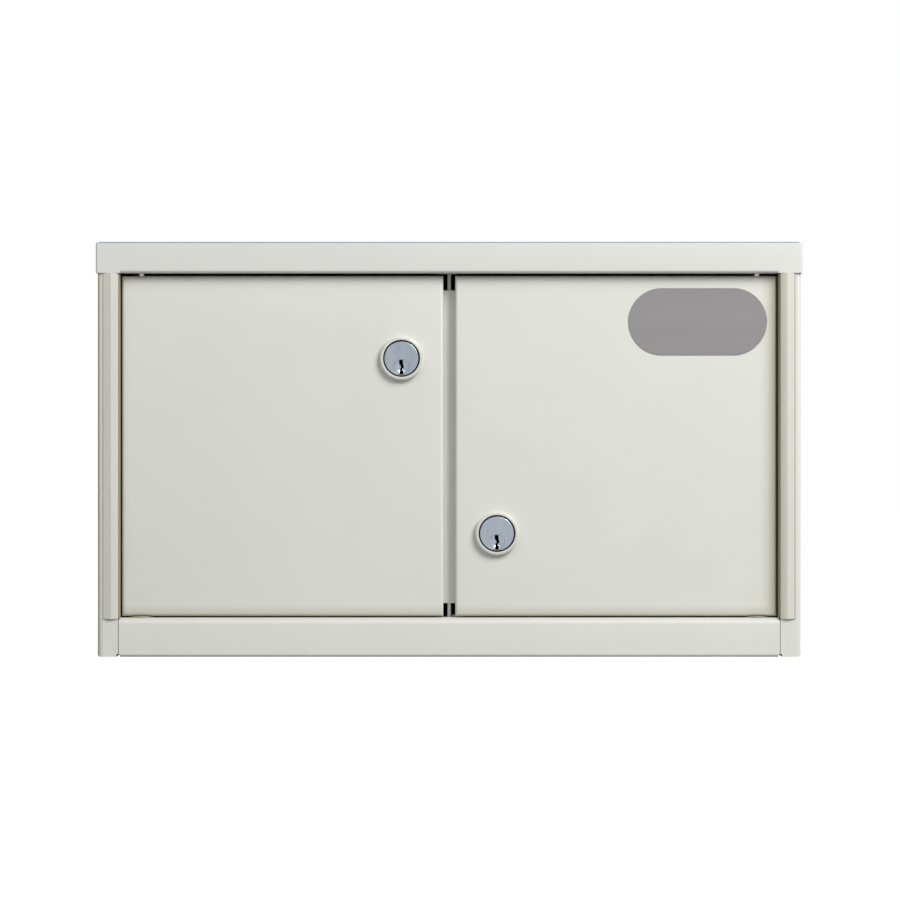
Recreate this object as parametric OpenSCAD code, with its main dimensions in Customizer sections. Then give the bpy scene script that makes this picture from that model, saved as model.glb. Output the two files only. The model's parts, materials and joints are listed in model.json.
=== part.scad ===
// Two-door steel cabinet for medicines, with a keyed cam lock on each door.
// Millimetres, +Z up, the doors face -Y, and the origin is under the middle of the base.

/* [Cabinet] */
// Width over the top cap
cabinet_w = 459.8; // [400:0.1:700]
// Height from the feet to the top of the cap
cabinet_h = 270; // [230:0.5:450]
// Depth from the face of the cap to the back
cabinet_d = 203.2; // [150:0.1:320]
// Thickness of the folded steel sheet
sheet_t = 1.2; // [0.8:0.1:1.6]
// Inside radius of a bend
bend_in_r = 0.8; // [0.4:0.1:1.5]
// Gap left beside a part that is slid into the body and welded
fit_gap = 0.3; // [0.1:0.05:0.6]

/* [Top cap] */
// Height of the cap's front and side flanges
cap_h = 20.3; // [16:0.1:40]
// Depth of the header shelf folded back from the cap's front flange
header_d = 24; // [20:0.5:40]
// Outside radius of the cap's bends
cap_bend_r = 1.5; // [1.3:0.1:3]

/* [Base] */
// Height of the base rail up to the cabinet floor
base_h = 25.4; // [18:0.1:60]
// Radius of the bend between the rail and the floor
rail_r = 4; // [2.8:0.1:8]
// Width of the flange folded back under the base rail
foot_w = 15; // [8:0.5:30]
// Radius of the relief hole at the foot of each corner seam
relief_r = 1.2; // [0.6:0.1:2]

/* [Side panels] */
// Width of the flange on the front of each side panel
flange_w = 14.5; // [12:0.1:25]
// Outside radius of the bend between that flange and the lip beside the door
lip_bend_r = 2.4; // [2:0.1:3]
// Depth of the lip folded back beside each door
lip_d = 8; // [5:0.5:9]
// Width of a flange that is welded to a neighbouring sheet
weld_w = 12; // [8:0.5:16]

/* [Guard strips] */
// Width of the strip over each hinge edge
strip_w = 9.6; // [6:0.1:10]
// Distance of the strip, and of the seam below it, from the lip beside the door
strip_offset = 1.2; // [1:0.1:2]
// Height of the strip's ridge above the flange
ridge_h = 1.8; // [1:0.1:3]
// Thickness of the strip at its two long edges
strip_edge_t = 0.4; // [0.2:0.05:0.6]
// Gap under the two long edges
strip_lift = 0.2; // [0.1:0.05:0.4]
// Distance from the strip's inner edge to its ridge
ridge_inset = 4.5; // [2:0.1:5]
// Length by which the strip runs down past the cabinet floor
strip_drop = 0.7; // [0:0.1:4]

/* [Doors] */
// Depth of the folded door pan
door_t = 9.5; // [8:0.1:14]
// Outside radius of the door's bends
door_bend_r = 1.8; // [1.4:0.1:4]
// Distance of the doors behind the front flanges
door_recess = 5.5; // [4.5:0.1:10]
// Gap between the doors where they meet
door_meet_gap = 7.8; // [5:0.1:14]
// Gap between a door and the side panel's lip
door_side_gap = 0.8; // [0.7:0.1:3]
// Gap between a door and the header above it
door_top_gap = 1.7; // [1:0.1:4]
// Gap between a door and the floor under it
door_floor_gap = 1; // [0.6:0.1:3]

/* [Pivots] */
// Diameter of the pivot pins
pivot_pin_d = 4.8; // [3:0.1:5]
// Diameter of the pins' heads
pivot_head_d = 8.5; // [7:0.1:12]
// Thickness of the pins' heads
pivot_head_t = 1.5; // [1:0.1:3]
// Distance of the pin from the door's hinge edge
pivot_inset = 12.5; // [8:0.1:20]
// Distance of the pin behind the face of the door
pivot_setback = 5.5; // [4.8:0.1:6]
// Length of pin inside the door pan
pivot_reach = 6; // [3:0.5:15]
// Diameter of the washer under each door
washer_d = 16; // [10:0.5:20]
// Running clearance of a pin in its hole, on the radius
pivot_clearance = 0.06; // [0.02:0.01:0.1]

/* [Divider and strike] */
// Width of the strike channel behind the closing edges
strike_w = 30; // [24:0.5:32]
// Depth of the strike channel
strike_d = 9.4; // [7:0.1:12]
// Gap between a closed door and the strike channel
strike_gap = 0.5; // [0.3:0.1:1.5]
// Distance from the header down to the strike channel
strike_top_gap = 10.6; // [6:0.1:25]
// Distance from the floor up to the strike channel
strike_foot_gap = 9.1; // [6:0.1:25]
// Length of the hem on the divider's front edge
hem_l = 14; // [12:0.5:30]

/* [Shelves] */
// Height of the shelves above the cabinet floor
shelf_rise = 112; // [85:1:130]
// Distance from the face of the doors to the shelves
shelf_setback = 30; // [28:0.5:50]
// Height of the shelf's front flange
shelf_lip_h = 15; // [13:0.5:24]
// Length of the angles that carry each shelf
ledge_l = 130; // [60:1:140]

/* [Locks] */
// Distance of the lock from the door's closing edge
lock_inset = 27.2; // [26:0.1:32]
// Distance of the lock from the nearer end of its door
lock_end = 53.8; // [45:0.1:70]
// Diameter of the lock's face
lock_face_d = 22.3; // [21.5:0.1:23]
// Height of the lock's face above the door
lock_face_h = 3.1; // [2.9:0.1:3.4]
// Outside diameter of the collar
collar_d = 28.6; // [28.2:0.1:31]
// Diameter of the collar's opening
collar_bore_d = 24; // [23.6:0.1:25]
// Height of the collar above the door
collar_h = 3.5; // [3:0.1:4.2]
// Diameter of the flange that holds the housing against the door
lock_flange_d = 26; // [25.6:0.1:26.4]
// Thickness of that flange
lock_flange_t = 1.2; // [0.8:0.1:1.6]
// Width across the flats of the housing
lock_flat_w = 20; // [18:0.1:21]
// Diameter of the nut across its flats
nut_af = 28; // [26:0.5:31]
// Thickness of the nut
nut_t = 4; // [2.5:0.1:5]
// Diameter of the plug's head
plug_head_d = 10; // [9.6:0.05:10.1]
// Thickness of the plug's head
plug_head_t = 1.5; // [1:0.1:2.5]
// Diameter of the plug behind its head
plug_d = 9.4; // [9.2:0.05:9.5]
// Distance of the plug's axis below the centre of the lock
plug_drop = 5.6; // [5.4:0.05:5.75]
// Running clearance of the plug, on the radius
plug_clearance = 0.05; // [0.02:0.01:0.1]
// Width of the plug's square tail
tail_w = 6.4; // [5:0.1:6.5]
// Thickness of the stop washer
stop_t = 1.1; // [0.8:0.1:1.5]
// Width of the cam
cam_w = 12.7; // [11:0.1:15]
// Length of the cam from its axis
cam_l = 26; // [24:0.1:28]
// Thickness of the cam
cam_t = 2; // [1.5:0.1:3]
// Distance from the locked cam to the strike channel
cam_gap = 0.6; // [0.3:0.1:1.5]
// Diameter of the screw that holds the cam
cam_screw_d = 4; // [3:0.1:4.5]
// Diameter of that screw's head
cam_screw_head_d = 9; // [8.5:0.1:11]
// Thickness of that screw's head
cam_screw_head_t = 2.4; // [1.5:0.1:3]

/* [Label plate] */
// Width of the blank plate on the right door
label_w = 90.3; // [60:0.1:120]
// Height of the plate
label_h = 43.6; // [20:0.1:60]
// Thickness of the plate
label_t = 0.5; // [0.3:0.1:1]
// Distance of the plate's centre from the door's hinge edge
label_inset = 51.5; // [50:0.1:100]
// Distance of the plate's centre from the top of the door
label_drop = 29.7; // [25:0.1:80]

/* [Wall fixing] */
// Distance of the screw holes from the sides of the cabinet
wall_hole_inset = 26.7; // [20:0.1:60]
// Distance between the screw holes up the back
wall_hole_h = 152.4; // [60:0.1:160]
// Diameter of the screw holes
wall_hole_d = 7; // [5:0.1:10]

/* [Hidden] */

$fn = 64;
// Overshoot of a cut past the face that it opens
cut = 1;
skim = 0.01;
paint = [0.85, 0.85, 0.82];
zinc = [0.72, 0.72, 0.7];
satin = [0.66, 0.69, 0.72];
label_grey = [0.6, 0.59, 0.6];

left = -1;
right = 1;

// Bends: the outside of every bend is one sheet larger than the inside
bend_r = bend_in_r + sheet_t;
rail_in_r = rail_r - sheet_t;

// Depth levels, from the front to the back
ridge_proud = max(0, ridge_h - sheet_t);
cap_y = ridge_proud - (cabinet_d + ridge_proud) / 2;
back_y = cap_y + cabinet_d;
back_in_y = back_y - sheet_t;
face_y = cap_y + sheet_t;
door_y = face_y + door_recess;
door_in_y = door_y + sheet_t;
door_back_y = door_y + door_t;
pivot_y = door_y + pivot_setback;
strike_y = door_back_y + strike_gap;
strike_back_y = strike_y + strike_d;
cam_y = strike_back_y + cam_gap;
shelf_y = door_y + shelf_setback;

// Width levels, from the middle outwards
body_x = cabinet_w / 2 - sheet_t;
wall_x = body_x - sheet_t;
flange_x = body_x - flange_w;
door_hinge_x = flange_x - door_side_gap;
door_meet_x = door_meet_gap / 2;
pivot_x = door_hinge_x - pivot_inset;
header_x = flange_x - fit_gap;
seam_x = flange_x + strip_offset;
rail_x = seam_x - fit_gap;
wall_hole_x = cabinet_w / 2 - wall_hole_inset;

// Height levels, from the feet up
floor_in_z = base_h - sheet_t;
roof_z = cabinet_h - sheet_t;
header_z = cabinet_h - cap_h;
door_z = base_h + door_floor_gap;
door_top_z = header_z - door_top_gap;
door_mid_z = (door_z + door_top_z) / 2;
shelf_z = base_h + shelf_rise;
shelf_in_z = shelf_z - sheet_t;
relief_z = relief_r * 0.7;
// Width of the lifted margin under each long edge of a guard strip
strip_seat = 1.2;

// Pivots: a small gap keeps the door off the washer
washer_gap = 0.1;
washer_t = door_floor_gap - washer_gap;
pin_hole_r = pivot_pin_d / 2 + pivot_clearance;

// Locks: the centre of each lock's face, then the sizes of the lock's own pieces
lock_x = door_meet_x + lock_inset;
lock_low_z = door_z + lock_end;
lock_high_z = door_top_z - lock_end;
// Gap between lock pieces that are put together, and round the lock in the door
seat_gap = 0.05;
lock_hole_gap = 0.1;
washer_room = stop_t + 2 * seat_gap;
housing_l = cam_y - door_y - washer_room;
face_r = lock_face_d / 2;
face_chamfer = 0.3;
collar_outer_r = 1.4;
collar_inner_r = 0.3;
plug_bore_r = plug_d / 2 + plug_clearance;
plug_head_bore_r = plug_head_d / 2 + plug_clearance;
tail_l = washer_room + cam_t - seat_gap;
stop_ring_r = 5.25;
stop_tab_r = 8.2;
stop_tab_w = 2.4;
stop_lug_r = 0.9;
stop_lug_path_r = 6.6;
// The lugs leave the tab this much more turn than a quarter, at each end
stop_slack = 1;
stop_lug_turn = asin((stop_tab_w / 2 + stop_lug_r) / stop_lug_path_r) + stop_slack;
cam_turn = 90;

// Keyway: each step is [left, right, top, bottom] from the centre of the lock's face
keyway_steps = [
    [-1.5, 1, -0.9, -3.9],
    [-0.8, 1.3, -3.8, -4.9],
    [-0.4, 1.5, -4.8, -6.3],
    [-1, 0.5, -6.2, -8.6]
];
keyway_bulb_r = 1.35;
keyway_bulb_z = -9.1;
keyway_end_wall = 2;
// Dish round the neck of the keyway
dish_r = 2.85;
dish_floor_r = 0.6;
dish_z = -6.9;
dish_t = 1.1;

// A quarter-round cut at one corner of a flat outline
module corner_cut(corner, inward, r) {
    centre = corner + r * inward;
    past = corner - cut * inward;
    difference() {
        polygon([past, [centre.x, past.y], centre, [past.x, centre.y]]);
        translate(centre) circle(r);
    }
}

// A rectangle from low to high with its own radius at each corner:
// low left, low right, high right, high left
module bent_rect(low, high, radii) {
    corners = [low, [high.x, low.y], high, [low.x, high.y]];
    inwards = [[1, 1], [-1, 1], [-1, -1], [1, -1]];
    difference() {
        translate(low) square(high - low);
        for (i = [0:3])
            if (radii[i] > 0) corner_cut(corners[i], inwards[i], radii[i]);
    }
}

// Extrusions between two levels of one axis
module along_x(from, to) {
    translate([from, 0, 0]) rotate([90, 0, 90]) linear_extrude(to - from) children();
}

module along_y(from, to) {
    translate([0, to, 0]) rotate([90, 0, 0]) linear_extrude(to - from) children();
}

module along_z(from, to) {
    translate([0, 0, from]) linear_extrude(to - from) children();
}

module block(low, high) {
    translate(low) cube(high - low);
}

// The shape as drawn for the right-hand side, or its mirror image on the left
module handed(side) {
    mirror([side == left ? 1 : 0, 0, 0]) children();
}

// Plan of a side panel: web, front flange, rear flange and, above the base, the lip
module side_plan(edge_x, lip) {
    edge_r = lip > 0 ? lip_bend_r : 0;
    difference() {
        bent_rect([edge_x, face_y], [body_x, back_in_y], [edge_r, bend_r, bend_r, 0]);
        bent_rect([edge_x + sheet_t, face_y + sheet_t], [wall_x, back_in_y - sheet_t],
            [max(0, edge_r - sheet_t), bend_in_r, bend_in_r, 0]);
        translate([edge_x - cut, face_y + max(lip, sheet_t)])
            square([sheet_t + cut, cabinet_d]);
    }
}

module foot_flange() {
    edge_x = seam_x + relief_r;
    along_y(face_y + sheet_t, back_in_y - sheet_t)
        difference() {
            bent_rect([edge_x, 0], [body_x, 2 * bend_r], [0, bend_r, 0, 0]);
            bent_rect([edge_x - cut, sheet_t], [wall_x, 2 * bend_r + cut],
                [0, bend_in_r, 0, 0]);
        }
}

module seam_relief() {
    along_y(cap_y - cut, face_y + foot_w + cut)
        union() {
            translate([seam_x, relief_z]) circle(relief_r);
            translate([seam_x - relief_r, -cut]) square([2 * relief_r, relief_z + cut]);
        }
}

module side_panel(side) {
    color(paint) handed(side)
        difference() {
            intersection() {
                union() {
                    along_z(0, base_h) side_plan(seam_x, 0);
                    along_z(base_h, roof_z) side_plan(flange_x, lip_d);
                    foot_flange();
                }
                along_y(face_y, back_in_y) bent_rect([0, 0], [body_x, roof_z], [0, bend_r, bend_r, 0]);
                along_x(0, body_x) bent_rect([face_y, 0], [back_in_y, roof_z], [0, 0, 0, bend_r]);
            }
            seam_relief();
        }
}

module back_panel() {
    color(paint)
        difference() {
            along_y(back_in_y, back_y)
                bent_rect([-body_x, 0], [body_x, roof_z], [0, 0, bend_r, bend_r]);
            for (x = [-1, 1], z = [-1, 1])
                translate([x * wall_hole_x, back_in_y - cut, door_mid_z + z * wall_hole_h / 2])
                    rotate([-90, 0, 0]) cylinder(d = wall_hole_d, h = sheet_t + 2 * cut);
        }
}

// Front rail, floor and rear flange as one folded section
module base_section() {
    difference() {
        bent_rect([face_y, 0], [back_in_y, base_h], [bend_r, 0, bend_r, rail_r]);
        bent_rect([face_y + sheet_t, sheet_t], [back_in_y - sheet_t, floor_in_z],
            [bend_in_r, 0, bend_in_r, rail_in_r]);
        translate([face_y + foot_w, -cut])
            square([back_in_y - sheet_t - face_y - foot_w, sheet_t + 2 * cut]);
    }
}

// Side edge of the floor, folded down against the side panel
module floor_wing() {
    outer_x = wall_x - fit_gap;
    along_y(face_y + lip_d + fit_gap, back_in_y - sheet_t - fit_gap)
        difference() {
            bent_rect([rail_x - weld_w, base_h - weld_w], [outer_x, base_h], [0, 0, bend_r, 0]);
            bent_rect([rail_x - weld_w - cut, base_h - weld_w - cut],
                [outer_x - sheet_t, floor_in_z], [0, 0, bend_in_r, 0]);
        }
}

module base_pan() {
    color(paint)
        difference() {
            union() {
                along_x(-rail_x, rail_x) base_section();
                for (side = [left, right]) handed(side) floor_wing();
            }
            for (side = [left, right]) {
                handed(side) seam_relief();
                handed(side) pivot_bore(base_h);
            }
        }
}

module pivot_bore(z) {
    translate([pivot_x, pivot_y, z - 3 * sheet_t]) cylinder(r = pin_hole_r, h = 6 * sheet_t);
}

// The cap's outside, or its inside when inset by one sheet
module cap_form(inset, r, low_z, back) {
    half_w = cabinet_w / 2 - inset;
    top_z = cabinet_h - inset;
    front_y = cap_y + inset;
    intersection() {
        along_x(-half_w, half_w) bent_rect([front_y, low_z], [back, top_z], [0, 0, 0, r]);
        along_y(front_y, back) bent_rect([-half_w, low_z], [half_w, top_z], [0, 0, r, r]);
        along_z(low_z, top_z) bent_rect([-half_w, front_y], [half_w, back], [r, r, 0, 0]);
    }
}

// Header folded back under the opening, with its own upturned stiffening lip
module header_fold() {
    rear_y = cap_y + header_d;
    along_x(-header_x, header_x)
        difference() {
            bent_rect([cap_y, header_z], [rear_y, header_z + cap_h / 2], [bend_r, bend_r, 0, 0]);
            bent_rect([cap_y + sheet_t, header_z + sheet_t],
                [rear_y - sheet_t, header_z + cap_h], [bend_in_r, bend_in_r, 0, 0]);
        }
}

module top_cap() {
    color(paint)
        difference() {
            union() {
                difference() {
                    cap_form(0, cap_bend_r, header_z, back_y);
                    cap_form(sheet_t, cap_bend_r - sheet_t, header_z - cut, back_y + cut);
                    block([-header_x, cap_y - cut, header_z - cut],
                        [header_x, face_y, header_z + bend_r]);
                }
                header_fold();
            }
            for (side = [left, right]) handed(side) pivot_bore(header_z);
        }
}

// Two layers at the front edge, then a web with flanges for the floor, roof and back
module centre_divider() {
    front_y = strike_y + sheet_t;
    hem_r = sheet_t * 0.6;
    color(paint)
        difference() {
            union() {
                along_y(front_y + bend_r, back_in_y - fit_gap)
                    difference() {
                        bent_rect([-sheet_t, base_h], [weld_w, roof_z], [bend_r, 0, 0, bend_r]);
                        bent_rect([0, base_h + sheet_t], [weld_w + cut, roof_z - sheet_t],
                            [bend_in_r, 0, 0, bend_in_r]);
                    }
                along_z(base_h, roof_z) {
                    translate([-sheet_t, front_y + bend_r])
                        square([sheet_t, bend_r]);
                    bent_rect([-sheet_t, front_y], [sheet_t, front_y + hem_l],
                        [hem_r, hem_r, 0, 0]);
                }
                along_z(base_h + bend_r, roof_z - bend_r)
                    difference() {
                        bent_rect([-sheet_t, back_in_y - weld_w], [weld_w, back_in_y],
                            [0, 0, 0, bend_r]);
                        bent_rect([0, back_in_y - weld_w - cut],
                            [weld_w + cut, back_in_y - sheet_t], [0, 0, 0, bend_in_r]);
                    }
            }
            block([-cut - sheet_t, front_y - cut, header_z],
                [weld_w + cut, cap_y + header_d + fit_gap, cabinet_h]);
        }
}

module strike_channel() {
    half_w = strike_w / 2;
    color(paint)
        along_z(base_h + strike_foot_gap, header_z - strike_top_gap)
            difference() {
                bent_rect([-half_w, strike_y], [half_w, strike_back_y], [bend_r, bend_r, 0, 0]);
                bent_rect([sheet_t - half_w, strike_y + sheet_t],
                    [half_w - sheet_t, strike_back_y + cut], [bend_in_r, bend_in_r, 0, 0]);
            }
}

module guard_strip(side) {
    color(paint) handed(side)
        along_z(base_h - strip_drop, header_z)
            translate([seam_x, face_y])
                polygon([
                    [strip_seat, 0], [0, -strip_lift], [0, -strip_lift - strip_edge_t],
                    [ridge_inset, -ridge_h], [strip_w, -strip_lift - strip_edge_t],
                    [strip_w, -strip_lift], [strip_w - strip_seat, 0]
                ]);
}

// One shelf reaches from the divider to the side panel on its own side
module shelf(side) {
    rear_y = back_in_y - sheet_t - fit_gap;
    color(paint) handed(side)
        along_x(sheet_t + fit_gap, wall_x - fit_gap)
            difference() {
                bent_rect([shelf_y, shelf_z - shelf_lip_h], [rear_y, shelf_z], [0, 0, bend_r, bend_r]);
                bent_rect([shelf_y + sheet_t, shelf_z - shelf_lip_h - cut],
                    [rear_y - sheet_t, shelf_in_z], [0, 0, bend_in_r, bend_in_r]);
            }
}

// Angle under the end of a shelf, with its upright leg against the wall at x
module ledge(x, inward) {
    start_y = shelf_y + sheet_t + bend_r;
    translate([x, 0, shelf_in_z])
        mirror([inward < 0 ? 1 : 0, 0, 0])
            along_y(start_y, start_y + ledge_l)
                difference() {
                    bent_rect([0, -weld_w], [weld_w, 0], [0, 0, 0, bend_r]);
                    bent_rect([sheet_t, -weld_w - cut], [weld_w + cut, -sheet_t],
                        [0, 0, 0, bend_in_r]);
                }
}

module shelf_ledges() {
    color(paint) {
        ledge(-wall_x, 1);
        ledge(-sheet_t, -1);
        ledge(0, 1);
        ledge(wall_x, -1);
    }
}

// A headed pin that stands up from z, or hangs down from it when turned over
module pivot_pin(shank) {
    translate([0, 0, -pivot_head_t]) cylinder(d = pivot_head_d, h = pivot_head_t);
    cylinder(d = pivot_pin_d, h = shank);
}

module lower_pivot_pins() {
    color(zinc)
        for (side = [left, right])
            translate([side * pivot_x, pivot_y, floor_in_z])
                pivot_pin(2 * sheet_t + door_floor_gap + pivot_reach);
}

module upper_pivot_pins() {
    color(zinc)
        for (side = [left, right])
            translate([side * pivot_x, pivot_y, header_z + sheet_t])
                rotate([180, 0, 0]) pivot_pin(2 * sheet_t + door_top_gap + pivot_reach);
}

module pivot_washers() {
    color(zinc)
        for (side = [left, right])
            translate([side * pivot_x, pivot_y, base_h])
                difference() {
                    cylinder(d = washer_d, h = washer_t);
                    translate([0, 0, -cut]) cylinder(r = pin_hole_r, h = washer_t + 2 * cut);
                }
}

// The door as hung on the right; the left door is the same part turned over
module hung_door(side) {
    if (side == left)
        translate([0, 0, 2 * door_mid_z]) rotate([0, 180, 0]) children();
    else
        children();
}

module door_form(inset, r, back) {
    low = [door_meet_x + inset, door_y + inset, door_z + inset];
    high = [door_hinge_x - inset, back, door_top_z - inset];
    intersection() {
        along_z(low.z, high.z)
            bent_rect([low.x, low.y], [high.x, high.y], [r, r, 0, 0]);
        along_x(low.x, high.x)
            bent_rect([low.y, low.z], [high.y, high.z], [r, 0, 0, r]);
    }
}

module lock_hole() {
    intersection() {
        circle(face_r + lock_hole_gap);
        square([lock_flat_w + 2 * lock_hole_gap, lock_face_d + cut], center = true);
    }
}

module door_pan(side) {
    color(paint) hung_door(side)
        difference() {
            door_form(0, door_bend_r, door_back_y);
            door_form(sheet_t, door_bend_r - sheet_t, door_back_y + cut);
            translate([lock_x, 0, lock_low_z])
                along_y(door_y - cut, door_in_y + cut) lock_hole();
            for (z = [door_z, door_top_z]) pivot_bore(z);
        }
}

// Lock pieces are drawn round the centre of the lock's face on the door:
// local x is the cabinet's x, local y is up, and local z is forward from the door
module on_door(side) {
    translate([side * lock_x, door_y, side == left ? lock_high_z : lock_low_z])
        rotate([90, 0, 0]) children();
}

// The same frame, moved down to the axis of the plug
module on_plug(side) {
    on_door(side) translate([0, -plug_drop, 0]) children();
}

module lock_collar(side) {
    color(paint) on_door(side)
        rotate_extrude()
            difference() {
                bent_rect([collar_bore_d / 2, 0], [collar_d / 2, collar_h],
                    [0, 0, collar_outer_r, collar_inner_r]);
                translate([-cut, -cut])
                    square([lock_flange_d / 2 + lock_hole_gap, lock_flange_t + seat_gap] + [cut, cut]);
            }
}

module lock_housing(side) {
    color(satin) on_door(side)
        difference() {
            union() {
                rotate_extrude() face_section();
                translate([0, 0, -housing_l])
                    linear_extrude(housing_l)
                        intersection() {
                            circle(face_r);
                            square([lock_flat_w, lock_face_d + cut], center = true);
                        }
                translate([0, -plug_drop, 0]) stop_lugs(side);
            }
            translate([0, -plug_drop, -housing_l - stop_t - cut])
                cylinder(r = plug_bore_r, h = housing_l + lock_face_h + stop_t + 2 * cut);
            translate([0, -plug_drop, lock_face_h - plug_head_t - seat_gap])
                cylinder(r = plug_head_bore_r, h = plug_head_t + cut);
        }
}

// Half section of the housing's head: the flange, then the chamfered face
module face_section() {
    polygon([
        [0, 0], [lock_flange_d / 2, 0], [lock_flange_d / 2, lock_flange_t],
        [face_r, lock_flange_t], [face_r, lock_face_h - face_chamfer],
        [face_r - face_chamfer, lock_face_h], [0, lock_face_h]
    ]);
}

// Two lugs behind the housing stop the washer's tab at the ends of a quarter turn
module stop_lugs(side) {
    start = 90 + side * stop_lug_turn;
    finish = 90 - side * (cam_turn + stop_lug_turn);
    for (turn = [start, finish])
        rotate(turn)
            translate([stop_lug_path_r, 0, -housing_l - stop_t])
                cylinder(r = stop_lug_r, h = stop_t + cut);
}

module lock_nut(side) {
    color(zinc) on_door(side)
        translate([0, 0, -sheet_t - nut_t])
            difference() {
                cylinder(d = nut_af / cos(30), h = nut_t, $fn = 6);
                translate([0, 0, -cut])
                    cylinder(r = face_r + lock_hole_gap, h = nut_t + 2 * cut);
            }
}

module keyway() {
    for (step = keyway_steps)
        translate([step[0], step[3]]) square([step[1] - step[0], step[2] - step[3]]);
    translate([0, keyway_bulb_z]) circle(keyway_bulb_r);
}

module lock_plug(side) {
    color(satin) on_door(side)
        difference() {
            translate([0, -plug_drop, 0]) {
                translate([0, 0, lock_face_h - plug_head_t])
                    cylinder(d = plug_head_d, h = plug_head_t);
                translate([0, 0, -housing_l])
                    cylinder(d = plug_d, h = housing_l + lock_face_h - plug_head_t);
                translate([-tail_w / 2, -tail_w / 2, -housing_l - tail_l])
                    cube([tail_w, tail_w, tail_l + cut]);
            }
            translate([0, 0, keyway_end_wall - housing_l])
                linear_extrude(housing_l + lock_face_h) keyway();
            translate([0, dish_z, lock_face_h - dish_t])
                cylinder(r1 = dish_floor_r, r2 = dish_r, h = dish_t + skim);
            translate([0, -plug_drop, -housing_l - tail_l - cut])
                cylinder(d = cam_screw_d + 2 * seat_gap, h = tail_l + cut);
        }
}

module tail_hole() {
    square(tail_w + 2 * seat_gap, center = true);
}

module stop_washer(side) {
    color(zinc) on_plug(side)
        translate([0, 0, -housing_l - seat_gap - stop_t])
            linear_extrude(stop_t)
                difference() {
                    union() {
                        circle(stop_ring_r);
                        translate([-stop_tab_w / 2, 0]) square([stop_tab_w, stop_tab_r]);
                    }
                    tail_hole();
                }
}

// The cam hangs down when the door is free and turns a quarter towards the divider
module lock_cam(side) {
    tip_r = cam_w / 2;
    color(zinc) on_plug(side)
        translate([0, 0, door_y - cam_y - cam_t])
            linear_extrude(cam_t)
                difference() {
                    union() {
                        circle(tip_r);
                        translate([-tip_r, tip_r - cam_l]) square([cam_w, cam_l - tip_r]);
                        translate([0, tip_r - cam_l]) circle(tip_r);
                    }
                    tail_hole();
                }
}

module cam_screw(side) {
    slot_w = 1.2;
    slot_t = cam_screw_head_t / 2;
    color(zinc) on_plug(side)
        translate([0, 0, door_y - cam_y - cam_t]) {
            difference() {
                translate([0, 0, -cam_screw_head_t])
                    cylinder(d = cam_screw_head_d, h = cam_screw_head_t);
                for (turn = [0, 90])
                    rotate(turn)
                        translate([-slot_w / 2, -cam_screw_head_d / 3, -cam_screw_head_t - cut])
                            cube([slot_w, cam_screw_head_d / 1.5, slot_t + cut]);
            }
            cylinder(d = cam_screw_d, h = washer_room + cam_t - 2 * seat_gap);
        }
}

module label_plate() {
    end_r = label_h / 2;
    straight = label_w - label_h;
    color(label_grey)
        translate([door_hinge_x - label_inset, door_y, door_top_z - label_drop])
            rotate([90, 0, 0])
                linear_extrude(label_t) {
                    square([straight, label_h], center = true);
                    for (end = [-1, 1]) translate([end * straight / 2, 0]) circle(end_r);
                }
}

side_panel(left);  // left_side_panel
side_panel(right);  // right_side_panel
back_panel();
base_pan();
top_cap();
centre_divider();
strike_channel();
guard_strip(left);  // left_guard_strip
guard_strip(right);  // right_guard_strip
shelf(left);  // left_shelf
shelf(right);  // right_shelf
shelf_ledges();
lower_pivot_pins();
upper_pivot_pins();
pivot_washers();
door_pan(left);  // left_door_pan
lock_collar(left);  // left_lock_collar
lock_housing(left);  // left_lock_housing
lock_nut(left);  // left_lock_nut
lock_plug(left);  // left_lock_plug
stop_washer(left);  // left_stop_washer
lock_cam(left);  // left_lock_cam
cam_screw(left);  // left_cam_screw
door_pan(right);  // right_door_pan
lock_collar(right);  // right_lock_collar
lock_housing(right);  // right_lock_housing
lock_nut(right);  // right_lock_nut
lock_plug(right);  // right_lock_plug
stop_washer(right);  // right_stop_washer
lock_cam(right);  // right_lock_cam
cam_screw(right);  // right_cam_screw
label_plate();
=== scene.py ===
"""A folded-steel medicine cabinet with two keyed doors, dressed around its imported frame."""

import json
import logging
import math
from dataclasses import dataclass
from enum import Enum
from functools import partial, reduce

import bmesh
import bpy
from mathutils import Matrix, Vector
from mathutils.bvhtree import BVHTree


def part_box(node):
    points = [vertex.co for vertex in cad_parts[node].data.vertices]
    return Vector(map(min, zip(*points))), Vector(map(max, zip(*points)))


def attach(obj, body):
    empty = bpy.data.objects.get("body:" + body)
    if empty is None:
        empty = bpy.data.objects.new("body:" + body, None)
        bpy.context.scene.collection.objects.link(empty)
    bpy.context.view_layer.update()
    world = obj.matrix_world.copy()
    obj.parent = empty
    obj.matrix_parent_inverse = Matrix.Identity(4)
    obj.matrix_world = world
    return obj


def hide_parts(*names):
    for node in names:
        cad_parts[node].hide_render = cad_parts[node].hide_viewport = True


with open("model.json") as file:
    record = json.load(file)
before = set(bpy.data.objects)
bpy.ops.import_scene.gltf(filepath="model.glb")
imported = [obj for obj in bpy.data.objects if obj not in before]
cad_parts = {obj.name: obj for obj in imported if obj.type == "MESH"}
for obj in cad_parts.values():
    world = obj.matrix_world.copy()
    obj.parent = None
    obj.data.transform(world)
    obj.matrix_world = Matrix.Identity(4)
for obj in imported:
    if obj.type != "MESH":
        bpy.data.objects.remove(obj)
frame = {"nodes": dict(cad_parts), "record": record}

LOG = logging.getLogger("cabinet")
MM = 0.001
NOISE_LOW, NOISE_HIGH = 0.3, 0.7
WHITE = (1.0, 1.0, 1.0, 1.0)

Colour = tuple[float, float, float, float]
Fade = tuple[float, float]
Socket = bpy.types.NodeSocket
Tree = bpy.types.NodeTree


class Body(Enum):
    """The rigid bodies that the pieces ride on."""

    CABINET = "cabinet"
    LEFT_DOOR = "left_door"
    RIGHT_DOOR = "right_door"
    LEFT_PLUG = "left_plug"
    RIGHT_PLUG = "right_plug"


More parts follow.
